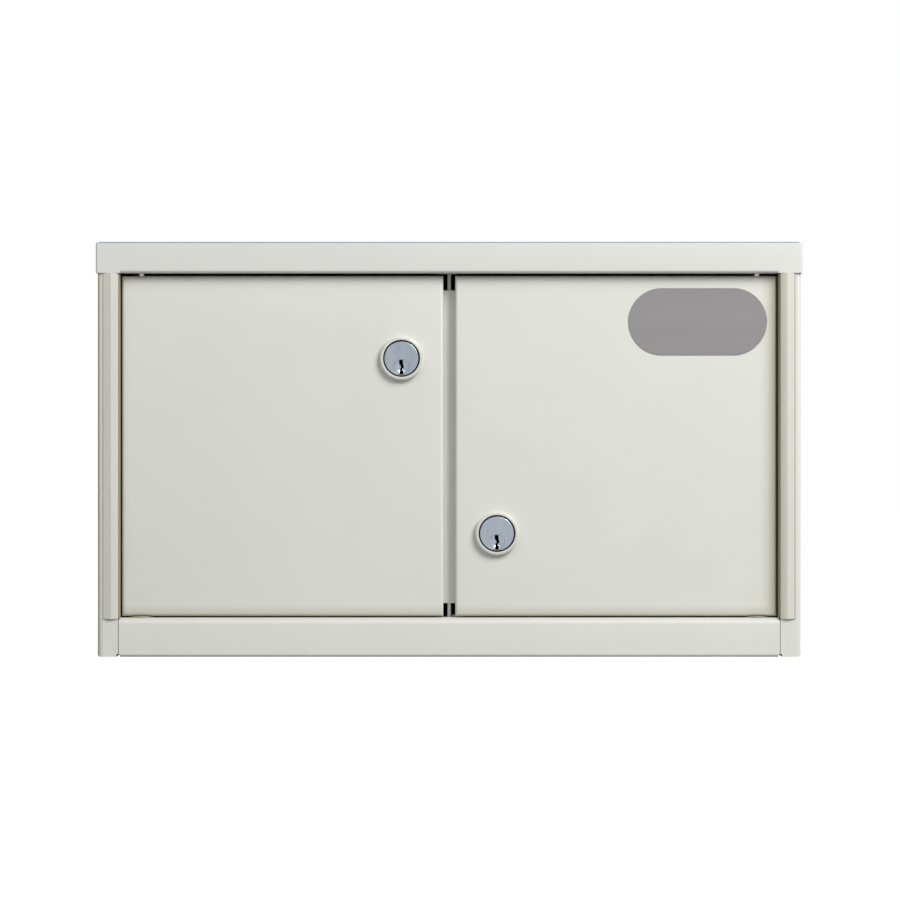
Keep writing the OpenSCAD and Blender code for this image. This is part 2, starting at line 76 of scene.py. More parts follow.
class Slot(Enum):
    """The record's material slots."""

    CABINET_PAINT = "putty_paint"
    COLLAR_PAINT = "collar_paint"
    LOCK_FACE = "satin_lock_face"
    ZINC = "zinc_plate"
    LABEL = "label_grey"


class Side(Enum):
    """The cabinet's two halves, as seen from the front."""

    LEFT = "left"
    RIGHT = "right"

    @property
    def door(self) -> Body:
        """The door on this side."""
        return Body(f"{self.value}_door")

    @property
    def plug(self) -> Body:
        """The turning part of the lock on this side."""
        return Body(f"{self.value}_plug")


class Lumps(Enum):
    """Layers of noise: how many cell sizes one lump takes, and how many finer layers it has."""

    FINE = (1.0, 1.0)
    WAVE = (5.0, 1.0)
    GLOSS = (9.0, 2.0)
    TONE = (40.0, 3.0)
    GRAIN = (1.0, 2.0)
    CLOUD = (14.0, 3.0)


def srgb(red: int, green: int, blue: int) -> Colour:
    """A colour as it looks on a screen, from 0 to 255, turned into linear light.

    Args:
        red: the red level.
        green: the green level.
        blue: the blue level.

    Returns:
        The linear colour with full alpha.
    """
    levels = [value / 255 for value in (red, green, blue)]
    linear = [v / 12.92 if v <= 0.04045 else ((v + 0.055) / 1.055) ** 2.4 for v in levels]
    return (*linear, 1.0)


def toned(colour: Colour, share: float) -> Colour:
    """A colour made darker or lighter by a share."""
    return (*[level * share for level in colour[:3]], 1.0)


def add_socket(tree: Tree, name: str, kind: str, value: object = None,
               output: bool = False) -> None:
    """Adds a named socket to a node group.

    Args:
        tree: the group.
        name: the socket's name.
        kind: the end of its type's name, such as Float, Vector or Geometry.
        value: its default, for an input that has one.
        output: whether it leads out of the group.
    """
    way = "OUTPUT" if output else "INPUT"
    socket = tree.interface.new_socket(name=name, in_out=way, socket_type=f"NodeSocket{kind}")
    if value is not None:
        socket.default_value = value


def fill(tree: Tree, socket: Socket, value: object) -> None:
    """Feeds an input from another node, or sets it.

    Args:
        tree: the tree that the node is in.
        socket: the input.
        value: its value, or the output socket that feeds it.
    """
    if isinstance(value, Socket):
        tree.links.new(value, socket)
    else:
        socket.default_value = value


def add_node(tree: Tree, kind: str, links: dict[str, object] | None = None,
             **settings: object) -> bpy.types.Node:
    """Adds a node and fills its inputs.

    Args:
        tree: the tree that the node joins.
        kind: the node's type.
        links: input name to a value, or to the output socket that feeds it.
        **settings: the node's own properties.

    Returns:
        The node.
    """
    node = tree.nodes.new(kind)
    for name, value in settings.items():
        setattr(node, name, value)
    for name, value in (links or {}).items():
        fill(tree, node.inputs[name], value)
    return node


def add_math(tree: Tree, operation: str, *values: object) -> Socket:
    """Adds a maths node.

    Args:
        tree: the tree that it joins.
        operation: what it works out.
        *values: its inputs, each a value or an output socket.

    Returns:
        The result.
    """
    node = add_node(tree, "ShaderNodeMath", operation=operation)
    for socket, value in zip(node.inputs, values):
        fill(tree, socket, value)
    return node.outputs[0]


def add_object(name: str, data: bpy.types.ID) -> bpy.types.Object:
    """Adds an object to the scene.

    Args:
        name: its name.
        data: its mesh, camera or light.

    Returns:
        The object.
    """
    piece = bpy.data.objects.new(name, data)
    bpy.context.scene.collection.objects.link(piece)
    return piece


@dataclass(frozen=True)
class SurfaceGroups:
    """Shader groups for the effects that several finishes share."""

    coat: Tree
    haze: Tree

    @classmethod
    def build(cls) -> "SurfaceGroups":
        """Builds both groups once."""
        return cls(coat=cls._coat_relief(), haze=cls._metal_haze())

    @staticmethod
    def _noise(tree: Tree, vector: Socket, cell: Socket, lumps: Lumps) -> Socket:
        """Noise whose cells are a multiple of a size in metres.

        Args:
            tree: the group.
            vector: the coordinates.
            cell: the socket that holds the cell size.
            lumps: how coarse and how detailed the noise is.

        Returns:
            The noise's value.
        """
        factor, detail = lumps.value
        scale = add_math(tree, "DIVIDE", 1.0, add_math(tree, "MULTIPLY", cell, factor))
        noise = add_node(tree, "ShaderNodeTexNoise",
                         {"Vector": vector, "Scale": scale, "Detail": detail, "Roughness": 0.5})
        return noise.outputs["Fac"]

    @classmethod
    def _coat_relief(cls) -> Tree:
        """The ripple of a baked coat: fine cells, a slow wave and a faint cloudiness.

        Returns:
            A group with Height, Gloss and Tone outputs, each from 0 to 1.
        """
        tree = bpy.data.node_groups.new("Coat ripple", "ShaderNodeTree")
        add_socket(tree, "Vector", "Vector")
        add_socket(tree, "Cell Size", "Float", 1.5 * MM)
        add_socket(tree, "Wave Share", "Float", 0.35)
        for name in ("Height", "Gloss", "Tone"):
            add_socket(tree, name, "Float", output=True)
        inside = add_node(tree, "NodeGroupInput")
        noise = partial(cls._noise, tree, inside.outputs["Vector"], inside.outputs["Cell Size"])
        height = add_node(tree, "ShaderNodeMix",
                          {"Factor": inside.outputs["Wave Share"], "A": noise(Lumps.FINE),
                           "B": noise(Lumps.WAVE)}, data_type="FLOAT")
        add_node(tree, "NodeGroupOutput",
                 {"Height": height.outputs["Result"], "Gloss": noise(Lumps.GLOSS),
                  "Tone": noise(Lumps.TONE)})
        return tree

    @classmethod
    def _metal_haze(cls) -> Tree:
        """Fine grain and broad cloudiness of plated or brushed metal.

        Returns:
            A group with Grain and Cloud outputs, each from 0 to 1.
        """
        tree = bpy.data.node_groups.new("Metal haze", "ShaderNodeTree")
        add_socket(tree, "Vector", "Vector")
        add_socket(tree, "Grain Size", "Float", 0.4 * MM)
        for name in ("Grain", "Cloud"):
            add_socket(tree, name, "Float", output=True)
        inside = add_node(tree, "NodeGroupInput")
        noise = partial(cls._noise, tree, inside.outputs["Vector"], inside.outputs["Grain Size"])
        add_node(tree, "NodeGroupOutput",
                 {"Grain": noise(Lumps.GRAIN), "Cloud": noise(Lumps.CLOUD)})
        return tree


@dataclass(frozen=True)
class Surface:
    """The parts of a material that every finish starts from."""

    material: bpy.types.Material
    tree: Tree
    shader: bpy.types.Node
    place: Socket

    @classmethod
    def start(cls, name: str,
              squeeze: tuple[float, float, float] = (1.0, 1.0, 1.0)) -> "Surface":
        """A material with its shader and its place on the object.

        Args:
            name: the material's name.
            squeeze: how much the pattern is stretched along each axis.

        Returns:
            The started material.
        """
        material = bpy.data.materials.new(name)
        material.use_nodes = True
        tree = material.node_tree
        where = add_node(tree, "ShaderNodeTexCoord")
        move = add_node(tree, "ShaderNodeMapping",
                        {"Vector": where.outputs["Object"], "Scale": squeeze})
        return cls(material, tree, tree.nodes["Principled BSDF"], move.outputs["Vector"])

    def pattern(self, group: Tree, sizes: dict[str, float] | None = None) -> bpy.types.Node:
        """Lays one of the shared patterns over the object.

        Args:
            group: the pattern's shader group.
            sizes: input name to value, for those that differ from their defaults.

        Returns:
            The group's node.
        """
        return add_node(self.tree, "ShaderNodeGroup", {"Vector": self.place, **(sizes or {})},
                        node_tree=group)

    def ranged(self, value: Socket, low: float, high: float) -> Socket:
        """A value from 0 to 1, spread over a new range.

        Args:
            value: the socket that holds it.
            low: what NOISE_LOW becomes, near the least that noise gives.
            high: what NOISE_HIGH becomes, near the most that noise gives.

        Returns:
            The new value.
        """
        node = add_node(self.tree, "ShaderNodeMapRange",
                        {"Value": value, "From Min": NOISE_LOW, "From Max": NOISE_HIGH,
                         "To Min": low, "To Max": high})
        return node.outputs["Result"]

    def blended(self, factor: Socket, first: Colour | Socket, second: Colour) -> Socket:
        """Two colours mixed by a value.

        Args:
            factor: the mixing value.
            first: the colour at 0, or the socket that gives it.
            second: the colour at 1.

        Returns:
            The mixed colour.
        """
        node = add_node(self.tree, "ShaderNodeMix", {"Factor": factor}, data_type="RGBA")
        colours = [socket for socket in node.inputs if socket.type == "RGBA"]
        for socket, value in zip(colours, (first, second)):
            fill(self.tree, socket, value)
        return next(s for s in node.outputs if s.type == "RGBA")

    def bumped(self, height: Socket, depth: float) -> None:
        """Raises a height pattern on the shader.

        Args:
            height: the pattern, from 0 to 1.
            depth: its depth in metres.
        """
        bump = add_node(self.tree, "ShaderNodeBump", {"Height": height, "Distance": depth})
        self.tree.links.new(bump.outputs["Normal"], self.shader.inputs["Normal"])

    def feed(self, name: str, value: Socket) -> None:
        """Links a pattern to one of the shader's inputs."""
        self.tree.links.new(value, self.shader.inputs[name])


@dataclass(frozen=True)
class BakedCoat:
    """Off-white baked coat over folded sheet."""

    name: str
    slot: Slot
    colour: Colour
    cell: float
    depth: float
    gloss: tuple[float, float] = (0.50, 0.60)
    tone_share: float = 0.03
    bands: tuple["Band", ...] = ()

    def make(self, groups: SurfaceGroups) -> bpy.types.Material:
        """Builds the material.

        Args:
            groups: the shared shader groups.

        Returns:
            The finished material.
        """
        surface = Surface.start(self.name)
        coat = surface.pattern(groups.coat, {"Cell Size": self.cell})
        tone = surface.ranged(coat.outputs["Tone"], 0.0, 1.0)
        colour = surface.blended(tone, toned(self.colour, 1 - self.tone_share), self.colour)
        for band in self.bands:
            colour = band.over(surface, colour)
        surface.feed("Base Color", colour)
        surface.feed("Roughness", surface.ranged(coat.outputs["Gloss"], *self.gloss))
        surface.bumped(coat.outputs["Height"], self.depth)
        return surface.material


@dataclass(frozen=True)
class Band:
    """A band of another tone on a coat, kept between limits across the object.

    Each limit is an axis, the place where the band starts to show and the place where it shows
    in full. The axis Span is the distance from the middle of the object.
    """

    colour: Colour
    limits: tuple[tuple[str, float, float], ...]

    def over(self, surface: "Surface", colour: Socket) -> Socket:
        """Lays the band over a coat.

        Args:
            surface: the coat's material.
            colour: the coat's colour.

        Returns:
            The colour with the band on it.
        """
        axes = add_node(surface.tree, "ShaderNodeSeparateXYZ", {"Vector": surface.place})
        span = add_math(surface.tree, "ABSOLUTE", axes.outputs["X"])
        masks = [add_node(surface.tree, "ShaderNodeMapRange",
                          {"Value": span if axis == "Span" else axes.outputs[axis],
                           "From Min": start, "From Max": full}).outputs["Result"]
                 for axis, start, full in self.limits]
        mask = reduce(partial(add_math, surface.tree, "MULTIPLY"), masks)
        return surface.blended(mask, colour, self.colour)


def limit(axis: str, face: float, fade: Fade, way: int = 1) -> tuple[str, float, float]:
    """A band's limit at a fade's distances from a face, or below the face where way is -1."""
    start, full = fade
    return axis, face + way * start, face + way * full


@dataclass(frozen=True)
class BrushedMetal:
    """Satin metal brushed upright, with fine streaks that differ in gloss and tone."""

    name: str
    slot: Slot
    colour: Colour
    streak: float = 0.5 * MM
    streak_length: float = 14.0
    streak_share: float = 0.86
    depth: float = 0.004 * MM
    gloss: tuple[float, float] = (0.24, 0.40)

    def make(self, groups: SurfaceGroups) -> bpy.types.Material:
        """Builds the material.

        Args:
            groups: the shared shader groups.

        Returns:
            The finished material.
        """
        surface = Surface.start(self.name, squeeze=(1.0, 1.0, 1 / self.streak_length))
        surface.shader.inputs["Metallic"].default_value = 1.0
        haze = surface.pattern(groups.haze, {"Grain Size": self.streak})
        streaks = surface.ranged(haze.outputs["Grain"], 0.0, 1.0)
        dark = toned(self.colour, self.streak_share)
        surface.feed("Base Color", surface.blended(streaks, dark, self.colour))
        surface.feed("Roughness", surface.ranged(haze.outputs["Cloud"], *self.gloss))
        surface.bumped(haze.outputs["Grain"], self.depth)
        return surface.material


@dataclass(frozen=True)
class ShadedMetal:
    """Dull dark metal, painted as the shade deep inside a lock, with lighter, dusty flecks."""

    name: str
    slot: Slot
    colour: Colour
    dust_share: float = 2.0
    gloss: tuple[float, float] = (0.75, 0.9)
    specular: float = 0.15

    def make(self, groups: SurfaceGroups) -> bpy.types.Material:
        """Builds the material.

        Args:
            groups: the shared shader groups.

        Returns:
            The finished material.
        """
        surface = Surface.start(self.name)
        haze = surface.pattern(groups.haze)
        shade_tone = surface.ranged(haze.outputs["Grain"], 0.0, 1.0)
        light = toned(self.colour, self.dust_share)
        surface.feed("Base Color", surface.blended(shade_tone, self.colour, light))
        surface.feed("Roughness", surface.ranged(haze.outputs["Cloud"], *self.gloss))
        surface.shader.inputs["Specular IOR Level"].default_value = self.specular
        return surface.material


@dataclass(frozen=True)
class PlatedMetal:
    """Zinc-plated or bare sheet metal with grain drawn out along one axis."""

    name: str
    slot: Slot
    light: Colour
    dark: Colour
    grain: float = 0.7 * MM
    squeeze: tuple[float, float, float] = (1.0, 1.0, 1.0)
    metallic: float = 1.0
    gloss: tuple[float, float] = (0.26, 0.42)
    depth: float = 0.004 * MM

    def make(self, groups: SurfaceGroups) -> bpy.types.Material:
        """Builds the material.

        Args:
            groups: the shared shader groups.

        Returns:
            The finished material.
        """
        surface = Surface.start(self.name, squeeze=self.squeeze)
        surface.shader.inputs["Metallic"].default_value = self.metallic
        haze = surface.pattern(groups.haze, {"Grain Size": self.grain})
        cloud = surface.ranged(haze.outputs["Cloud"], 0.0, 1.0)
        surface.feed("Base Color", surface.blended(cloud, self.dark, self.light))
        surface.feed("Roughness", surface.ranged(haze.outputs["Grain"], *self.gloss))
        surface.bumped(haze.outputs["Grain"], self.depth)
        return surface.material


Finish = BakedCoat | BrushedMetal | PlatedMetal | ShadedMetal

COLLAR_COAT = BakedCoat("collar coat", Slot.COLLAR_PAINT, srgb(206, 207, 198), cell=1.2 * MM,
                        depth=0.002 * MM, gloss=(0.28, 0.36))
BRIGHT_ZINC = PlatedMetal("bright zinc", Slot.ZINC, light=srgb(208, 209, 206),
                          dark=srgb(182, 184, 186))
# the pivot washers' finish: a darker, duller zinc than the pins'
DIM_ZINC = PlatedMetal("worn washer", Slot.ZINC, light=srgb(150, 148, 138),
                        dark=srgb(120, 118, 108), gloss=(0.45, 0.6))
BLANK_PLATE = PlatedMetal("blank plate grey", Slot.LABEL, light=srgb(135, 132, 133),
                          dark=srgb(131, 128, 129), grain=0.5 * MM, squeeze=(0.05, 1.0, 1.0),
                          metallic=0.35, gloss=(0.44, 0.56), depth=0.003 * MM)
SATIN_FACE = BrushedMetal("satin lock face", Slot.LOCK_FACE, srgb(155, 164, 174))
# painted shade for the keyway's walls and the groove round the lock's face
KEYWAY_SHADE = ShadedMetal("keyway shade", Slot.LOCK_FACE, srgb(26, 26, 27))


@dataclass(frozen=True)
class Coats:
    """The coats of the painted sheets, with painted shade along their edges, bends and seams.

    A fade holds two distances from a face of the sheet: where its tone starts to show, and
    where it shows in full.
    """

    cell: float = 1.6 * MM
    depth: float = 0.006 * MM
    putty: Colour = srgb(214, 215, 207)
    # cap: a touch greyer, cooler copy of the putty paint, as painted light on the cap
    cap: Colour = srgb(213, 213, 208)
    # strip: a darker copy of the putty paint, as painted shade on the guard strips
    strip: Colour = srgb(205, 203, 193)
    # inner: a lighter copy of the putty paint, as painted light on the strike channel and the
    # divider deep behind the doors
    inner: Colour = srgb(236, 237, 229)
    # a thin dark line of painted shade along the cap's top front bend
    cap_bend_shade: Colour = srgb(128, 138, 141)
    cap_bend_shade_drop: Fade = (1.2 * MM, 0.6 * MM)
    cap_bend_shade_back: Fade = (3 * MM, 2 * MM)
    cap_bend_shade_ends: Fade = (1.6 * MM, 2.6 * MM)
    # painted shade in the gap between the side panels' lips and the doors
    gap_shade: Colour = srgb(140, 131, 112)
    gap_shade_reach: Fade = (0.2 * MM, -0.1 * MM)
    # painted shade on the left side panel's front bend
    left_bend_shade: Colour = srgb(166, 166, 150)
    left_bend_shade_reach: Fade = (4 * MM, 0.0)
    left_bend_shade_back: Fade = (2 * MM, 1.4 * MM)
    strip_shade: Colour = srgb(182, 177, 158)
    right_half: Fade = (0.0, 1 * MM)
    # a painted shadow line in the seam along the right guard strip's outer edge
    strip_seam_shadow: Colour = srgb(140, 139, 132)
    strip_seam_shadow_reach: Fade = (0.6 * MM, 0.4 * MM)
    # painted shade along the rail's top bend, dimming its highlight
    rail_bend_shade: Colour = srgb(192, 192, 186)
    rail_bend_shade_drop: Fade = (3 * MM, 1 * MM)
    rail_bend_shade_back: Fade = (4 * MM, 3 * MM)
    # painted shade along each door's foot
    door_foot_shade: Colour = srgb(181, 180, 164)
    door_foot_shade_rise: Fade = (7.2 * MM, 0.0)
    # painted shadow along the right door's hinge edge
    hinge_edge_shadow: Colour = srgb(186, 184, 165)
    hinge_edge_shadow_reach: Fade = (11 * MM, 0.0)
    door_tone_back: Fade = (2 * MM, 1 * MM)

    def _coat(self, name: str, colour: Colour, *bands: Band) -> BakedCoat:
        """A cabinet coat with its bands."""
        return BakedCoat(name, Slot.CABINET_PAINT, colour, self.cell, self.depth, bands=bands)

    @property
    def plain(self) -> BakedCoat:
        """The coat of the sheets without painted shade or light."""
        return self._coat("putty coat", self.putty)

    def _cap(self) -> BakedCoat:
        """The cap's coat, with a thin line of painted shade under the front of its roof.

        Returns:
            The coat.
        """
        low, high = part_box("top_cap")
        # painted shade: a thin dark line under the roof's front edge
        return self._coat("cap coat", self.cap, Band(self.cap_bend_shade, (
            limit("Z", high[2], self.cap_bend_shade_drop, -1), limit("Y", low[1], self.cap_bend_shade_back),
            limit("Span", high[0], self.cap_bend_shade_ends, -1))))

    def _sides(self) -> dict[str, BakedCoat]:
        """The side panels' coats: painted shade in the gap beside the door and on the left bend.

        Returns:
            Node name to coat.
        """
        low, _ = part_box("left_side_panel")
        # painted shade in the gap beside the door
        shade_tone = Band(self.gap_shade,
                    (limit("Span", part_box("right_guard_strip")[0][0], self.gap_shade_reach),))
        # painted shade on the left panel's front bend
        bend = Band(self.left_bend_shade, (limit("X", low[0], self.left_bend_shade_reach),
                                     limit("Y", low[1], self.left_bend_shade_back)))
        return {"right_side_panel": self._coat("side coat", self.putty, shade_tone),
                "left_side_panel": self._coat("left side coat", self.putty, shade_tone, bend)}

    def _strips(self) -> BakedCoat:
        """The guard strips' coat: painted shade on the right one's inner half and in its outer
        seam.

        Returns:
            The coat.
        """
        low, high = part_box("right_guard_strip")
        shade = Band(self.strip_shade, (("X", (low[0] + high[0]) / 2, low[0]),
                                        limit("X", 0.0, self.right_half)))
        # painted shadow in the seam along the right strip's outer edge
        seam = Band(self.strip_seam_shadow, (limit("X", high[0], self.strip_seam_shadow_reach, -1),))
        return self._coat("strip coat", self.strip, shade, seam)

    def _rail(self) -> BakedCoat:
        """The base pan's coat, with painted shade dimming the bend along the top of its rail.

        Returns:
            The coat.
        """
        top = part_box("pivot_washers")[0][2]
        # painted shade dimming the rail's top bend
        return self._coat("rail coat", self.putty, Band(self.rail_bend_shade, (
            limit("Z", top, self.rail_bend_shade_drop, -1),
            limit("Y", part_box("base_pan")[0][1], self.rail_bend_shade_back))))

    def of_sheets(self) -> dict[str, BakedCoat]:
        """The coats that differ from the plain one.

        Returns:
            Node name to coat.
        """
        # painted light: the lighter strike coat on the sheets deep behind the doors
        inner = self._coat("strike coat", self.inner)
        strips = self._strips()
        return {"top_cap": self._cap(), "base_pan": self._rail(), "strike_channel": inner,
                "centre_divider": inner, "left_guard_strip": strips,
                "right_guard_strip": strips, **self._sides()}

    def door(self, side: Side) -> BakedCoat:
        """A door's coat, with painted shade along the foot and along the right door's hinge edge.

        Both tones run on to the pan's inner face, where they are fainter.

        Args:
            side: the door's side.

        Returns:
            The coat.
        """
        low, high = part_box("right_door_pan")
        face = limit("Y", low[1], self.door_tone_back)
        # painted shade along the door's foot
        bands = [Band(self.door_foot_shade, (limit("Z", low[2], self.door_foot_shade_rise), face))]
        if side is Side.RIGHT:
            # painted shadow along the right door's hinge edge
            edge = limit("X", high[0], self.hinge_edge_shadow_reach, -1)
            bands.append(Band(self.hinge_edge_shadow, (edge, face)))
        return self._coat(f"{side.value} door coat", self.putty, *bands)


@dataclass
class Workshop:
    """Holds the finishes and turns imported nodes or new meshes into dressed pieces."""

    groups: SurfaceGroups
    materials: dict[str, bpy.types.Material]
    edge_break: float = 0.18 * MM
    sharp_angle: float = math.radians(35)
    flat_angle: float = math.radians(0.5)
    merge_distance: float = 0.002 * MM

    def finish(self, finish: Finish) -> bpy.types.Material:
        """The material of a finish, built on its first use."""
        if finish.name not in self.materials:
            self.materials[finish.name] = finish.make(self.groups)
        return self.materials[finish.name]

    def place(self, piece: bpy.types.Object, body: Body, slot: Slot,
              *nodes: str) -> bpy.types.Object:
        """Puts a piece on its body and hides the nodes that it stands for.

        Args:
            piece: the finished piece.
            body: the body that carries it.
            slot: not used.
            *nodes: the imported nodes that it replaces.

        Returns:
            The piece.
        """
        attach(piece, body.value)
        if nodes:
            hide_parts(*nodes)
        LOG.info("%s: %d faces on %s", piece.name, len(piece.data.polygons), body.value)
        return piece

    def mesh_object(self, name: str, bm: bmesh.types.BMesh,
                    material: bpy.types.Material) -> bpy.types.Object:
        """Makes an object of a bmesh, with its place in its mesh.

        Args:
            name: the piece's name.
            bm: the geometry, which is freed.
            material: its finish.

        Returns:
            The object, linked to the scene.
        """
        mesh = bpy.data.meshes.new(name)
        bm.to_mesh(mesh)
        bm.free()
        mesh.materials.append(material)
        return add_object(name, mesh)

    def shade(self, piece: bpy.types.Object, sharp_angle: float | None = None) -> None:
        """Smooths the faces, and keeps the edges sharp that turn by more than the limit.

        Args:
            piece: the piece.
            sharp_angle: the limit, or None for the usual one.
        """
        limit = self.sharp_angle if sharp_angle is None else sharp_angle
        mesh = piece.data
        bm = bmesh.new()
        bm.from_mesh(mesh)
        for face in bm.faces:
            face.smooth = True
        for edge in bm.edges:
            edge.smooth = edge.calc_face_angle(0.0) < limit
        bm.to_mesh(mesh)
        bm.free()

    def baked(self, piece: bpy.types.Object) -> bpy.types.Object:
        """Turns a piece's modifiers into plain mesh.

        Args:
            piece: the piece with its modifiers.

        Returns:
            The piece without them.
        """
        bpy.context.view_layer.update()
        depsgraph = bpy.context.evaluated_depsgraph_get()
        result = bpy.data.meshes.new_from_object(piece.evaluated_get(depsgraph))
        piece.modifiers.clear()
        piece.data = result
        return piece

    def seated(self, piece: bpy.types.Object, node: str, reach: float) -> bpy.types.Object:
        """Brings vertices that a bevel threw off a node's surface back onto it.

        Args:
            piece: the bevelled piece.
            node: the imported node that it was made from.
            reach: how far from the node's surface a vertex may lie.

        Returns:
            The piece.
        """
        packed = frame["nodes"][node].data
        surface = BVHTree.FromPolygons([vertex.co for vertex in packed.vertices],
                                       [tuple(face.vertices) for face in packed.polygons])
        for vertex in piece.data.vertices:
            spot, _, _, away = surface.find_nearest(vertex.co)
            if away > reach:
                vertex.co = spot
        return piece

    def softened(self, node: str, name: str, material: bpy.types.Material,
                 edge_break: float | None = None, sharp_angle: float | None = None,
                 segments: int = 2) -> bpy.types.Object:
        """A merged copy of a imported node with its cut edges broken.

        Args:
            node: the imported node.
            name: the new piece's name.
            material: its finish.
            edge_break: the width of the broken edge, None for the usual one, or 0 for an
                edge and a mesh that stay as packed.
            sharp_angle: the turn that makes an edge sharp, or None for the usual one.
            segments: how many steps round off a broken edge.

        Returns:
            The new piece, not yet on a body.
        """
        limit = self.sharp_angle if sharp_angle is None else sharp_angle
        bm = bmesh.new()
        bm.from_mesh(frame["nodes"][node].data)
        bmesh.ops.remove_doubles(bm, verts=bm.verts, dist=self.merge_distance)
        if edge_break != 0:
            bmesh.ops.dissolve_limit(bm, angle_limit=self.flat_angle, verts=bm.verts,
                                     edges=bm.edges)
        piece = self.mesh_object(name, bm, material)
        self.shade(piece, limit)
        if edge_break == 0:
            return piece
        bevel = piece.modifiers.new("broken edges", "BEVEL")
        bevel.limit_method = "ANGLE"
        bevel.angle_limit = limit
        width = self.edge_break if edge_break is None else edge_break
        bevel.width = width
        bevel.segments = segments
        bevel.use_clamp_overlap = False
        bevel.harden_normals = True
        bevel.miter_outer = "MITER_ARC"
        return self.seated(self.baked(piece), node, width)


@dataclass
class Cabinet:
    """The fixed body: folded sheets, guard strips, shelves, pivots and weld marks.

    The rows of marks stop a number of insets short of the back's corners and the sides' ends.
    """

    shop: Workshop
    coats: Coats
    zinc: PlatedMetal
    dim: PlatedMetal
    painted: tuple[str, ...] = (
        "left_side_panel", "right_side_panel", "back_panel", "base_pan", "top_cap",
        "centre_divider", "strike_channel", "left_guard_strip", "right_guard_strip",
        "left_shelf", "right_shelf", "shelf_ledges")
    narrow: tuple[str, ...] = ("left_side_panel", "right_side_panel", "centre_divider")
    plated: tuple[str, ...] = ("lower_pivot_pins", "upper_pivot_pins")
    ridge_angle: float = math.radians(14)
    narrow_break: float = 0.05 * MM
    weld_inset: float = 6.5 * MM
    weld_pitch: float = 55 * MM
    corner_insets: int = 3
    front_insets: int = 4
    rear_insets: int = 2

    def build(self) -> None:
        """Builds every piece of the body."""
        own_coats = self.coats.of_sheets()
        for node in self.painted:
            coat = own_coats.get(node, self.coats.plain)
            crease = self.ridge_angle if node.endswith("guard_strip") else None
            width = self.narrow_break if node in self.narrow else None
            piece = self.shop.softened(node, f"painted_{node}", self.shop.finish(coat), width,
                                       sharp_angle=crease)
            self.shop.place(piece, Body.CABINET, coat.slot, node)
        for node in self.plated:
            piece = self.shop.softened(node, f"plated_{node}", self.shop.finish(self.zinc))
            self.shop.place(piece, Body.CABINET, self.zinc.slot, node)
        washers = self.shop.softened("pivot_washers", "dim_pivot_washers",
                                     self.shop.finish(self.dim))
        self.shop.place(washers, Body.CABINET, self.dim.slot, "pivot_washers")
        WeldMarks(self.shop, self.coats.plain).build(self._weld_points())

    def _row(self, start: Vector, end: Vector, facing: Vector) -> list[tuple[Vector, Vector]]:
        """Evenly spaced marks along a seam.

        Args:
            start: one end of the seam.
            end: its other end.
            facing: the way that the sheet faces.

        Returns:
            Each mark's centre and the way that it faces.
        """
        count = max(2, round((end - start).length / self.weld_pitch) + 1)
        return [(start.lerp(end, i / (count - 1)), facing) for i in range(count)]

    def _weld_points(self) -> list[tuple[Vector, Vector]]:
        """The marks on the back panel's edges and along the foot of each side.

        Returns:
            Each mark's centre and the way that it faces.
        """
        low, high = (Vector(corner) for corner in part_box("back_panel"))
        near = self.weld_inset
        corner = self.corner_insets * near
        left, right = low.x + near, high.x - near
        foot, head = low.z + near, high.z - near
        rear = Vector((0, 1, 0))
        lines = [((left, foot), (left, head)), ((right, foot), (right, head)),
                 ((left + corner, foot), (right - corner, foot)),
                 ((left + corner, head), (right - corner, head))]
        marks: list[tuple[Vector, Vector]] = []
        for (x0, z0), (x1, z1) in lines:
            marks += self._row(Vector((x0, high.y, z0)), Vector((x1, high.y, z1)), rear)
        floor_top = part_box("pivot_washers")[0][2]
        side_low, side_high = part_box("right_side_panel")
        for sign in (-1, 1):
            x = sign * side_high[0]
            front = side_low[1] + self.front_insets * near
            back = side_high[1] - self.rear_insets * near
            marks += self._row(Vector((x, front, floor_top - near)),
                               Vector((x, back, floor_top - near)), Vector((sign, 0, 0)))
        return marks


